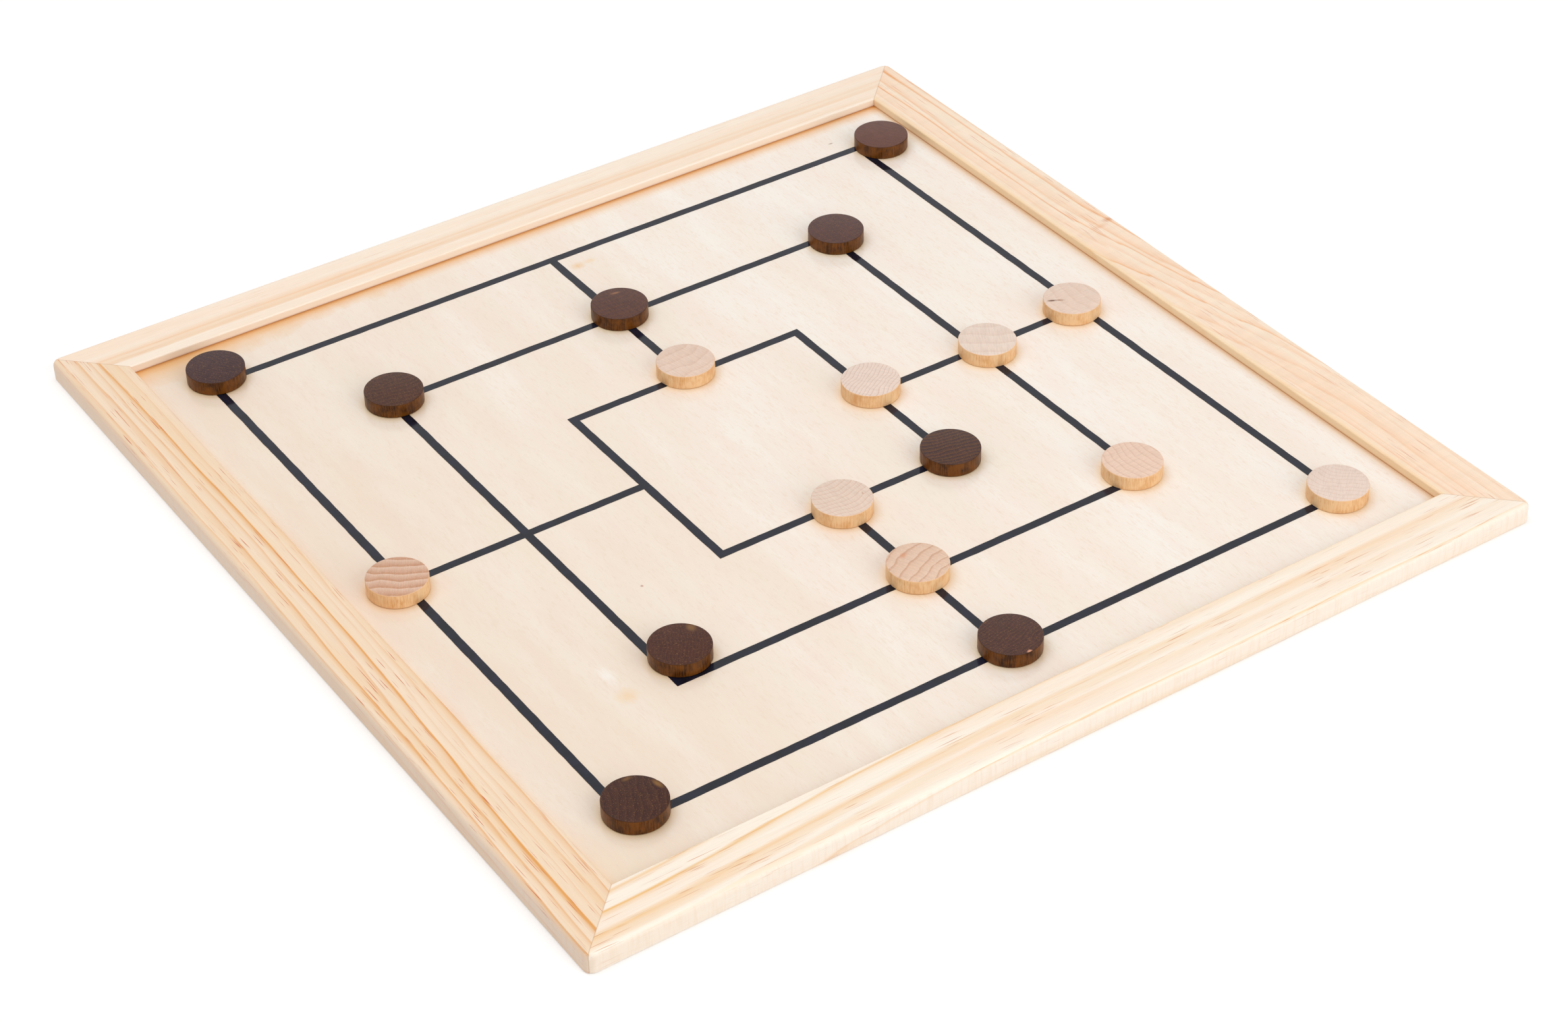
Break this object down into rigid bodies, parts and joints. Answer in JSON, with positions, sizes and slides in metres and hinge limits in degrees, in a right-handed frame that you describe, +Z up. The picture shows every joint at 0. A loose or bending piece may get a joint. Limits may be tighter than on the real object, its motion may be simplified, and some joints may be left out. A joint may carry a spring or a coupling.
{
  "type": "nine mens morris board",
  "caption": "Square wooden board for nine men's morris, with a mitred frame, a recessed panel printed with the three squares, and loose dark and pale disc men.",
  "frame": {"origin": "middle of the frame, on the surface that it stands on", "axes": "+X along the front rail, +Y from the front rail to the back rail, +Z up"},
  "size_m": [0.35, 0.35, 0.0095],
  "materials": {
    "pine": "satin clear lacquer",
    "face_veneer": "satin clear lacquer",
    "core_veneer": "raw",
    "back_veneer": "raw, sanded",
    "printing_ink": "satin ink film",
    "stained_wood": "walnut stain, satin",
    "pale_wood": "natural, satin"
  },
  "bodies": {
    "board": {"rail_front": "pine", "rail_right": "pine", "rail_back": "pine", "rail_left": "pine", "panel_face": "face_veneer", "panel_core": "core_veneer", "panel_back": "back_veneer", "printed_lines": "printing_ink"},
    "dark_man_1_body": {"dark_man_1": "stained_wood"},
    "dark_man_2_body": {"dark_man_2": "stained_wood"},
    "dark_man_3_body": {"dark_man_3": "stained_wood"},
    "dark_man_4_body": {"dark_man_4": "stained_wood"},
    "dark_man_5_body": {"dark_man_5": "stained_wood"},
    "dark_man_6_body": {"dark_man_6": "stained_wood"},
    "dark_man_7_body": {"dark_man_7": "stained_wood"},
    "dark_man_8_body": {"dark_man_8": "stained_wood"},
    "dark_man_9_body": {"dark_man_9": "stained_wood"},
    "light_man_1_body": {"light_man_1": "pale_wood"},
    "light_man_2_body": {"light_man_2": "pale_wood"},
    "light_man_3_body": {"light_man_3": "pale_wood"},
    "light_man_4_body": {"light_man_4": "pale_wood"},
    "light_man_5_body": {"light_man_5": "pale_wood"},
    "light_man_6_body": {"light_man_6": "pale_wood"},
    "light_man_7_body": {"light_man_7": "pale_wood"},
    "light_man_8_body": {"light_man_8": "pale_wood"},
    "light_man_9_body": {"light_man_9": "pale_wood"}
  },
  "joints": [
    {"name": "dark_man_1_lift", "type": "slide", "parent": "board", "child": "dark_man_1_body", "axis": [0, 0, 1], "range_m": [0, 0.03]},
    {"name": "dark_man_2_lift", "type": "slide", "parent": "board", "child": "dark_man_2_body", "axis": [0, 0, 1], "range_m": [0, 0.03]},
    {"name": "dark_man_3_lift", "type": "slide", "parent": "board", "child": "dark_man_3_body", "axis": [0, 0, 1], "range_m": [0, 0.03]},
    {"name": "dark_man_4_lift", "type": "slide", "parent": "board", "child": "dark_man_4_body", "axis": [0, 0, 1], "range_m": [0, 0.03]},
    {"name": "dark_man_5_lift", "type": "slide", "parent": "board", "child": "dark_man_5_body", "axis": [0, 0, 1], "range_m": [0, 0.03]},
    {"name": "dark_man_6_lift", "type": "slide", "parent": "board", "child": "dark_man_6_body", "axis": [0, 0, 1], "range_m": [0, 0.03]},
    {"name": "dark_man_7_lift", "type": "slide", "parent": "board", "child": "dark_man_7_body", "axis": [0, 0, 1], "range_m": [0, 0.03]},
    {"name": "dark_man_8_lift", "type": "slide", "parent": "board", "child": "dark_man_8_body", "axis": [0, 0, 1], "range_m": [0, 0.03]},
    {"name": "dark_man_9_lift", "type": "slide", "parent": "board", "child": "dark_man_9_body", "axis": [0, 0, 1], "range_m": [0, 0.03]},
    {"name": "light_man_1_lift", "type": "slide", "parent": "board", "child": "light_man_1_body", "axis": [0, 0, 1], "range_m": [0, 0.03]},
    {"name": "light_man_2_lift", "type": "slide", "parent": "board", "child": "light_man_2_body", "axis": [0, 0, 1], "range_m": [0, 0.03]},
    {"name": "light_man_3_lift", "type": "slide", "parent": "board", "child": "light_man_3_body", "axis": [0, 0, 1], "range_m": [0, 0.03]},
    {"name": "light_man_4_lift", "type": "slide", "parent": "board", "child": "light_man_4_body", "axis": [0, 0, 1], "range_m": [0, 0.03]},
    {"name": "light_man_5_lift", "type": "slide", "parent": "board", "child": "light_man_5_body", "axis": [0, 0, 1], "range_m": [0, 0.03]},
    {"name": "light_man_6_lift", "type": "slide", "parent": "board", "child": "light_man_6_body", "axis": [0, 0, 1], "range_m": [0, 0.03]},
    {"name": "light_man_7_lift", "type": "slide", "parent": "board", "child": "light_man_7_body", "axis": [0, 0, 1], "range_m": [0, 0.03]},
    {"name": "light_man_8_lift", "type": "slide", "parent": "board", "child": "light_man_8_body", "axis": [0, 0, 1], "range_m": [0, 0.03]},
    {"name": "light_man_9_lift", "type": "slide", "parent": "board", "child": "light_man_9_body", "axis": [0, 0, 1], "range_m": [0, 0.03]}
  ]
}
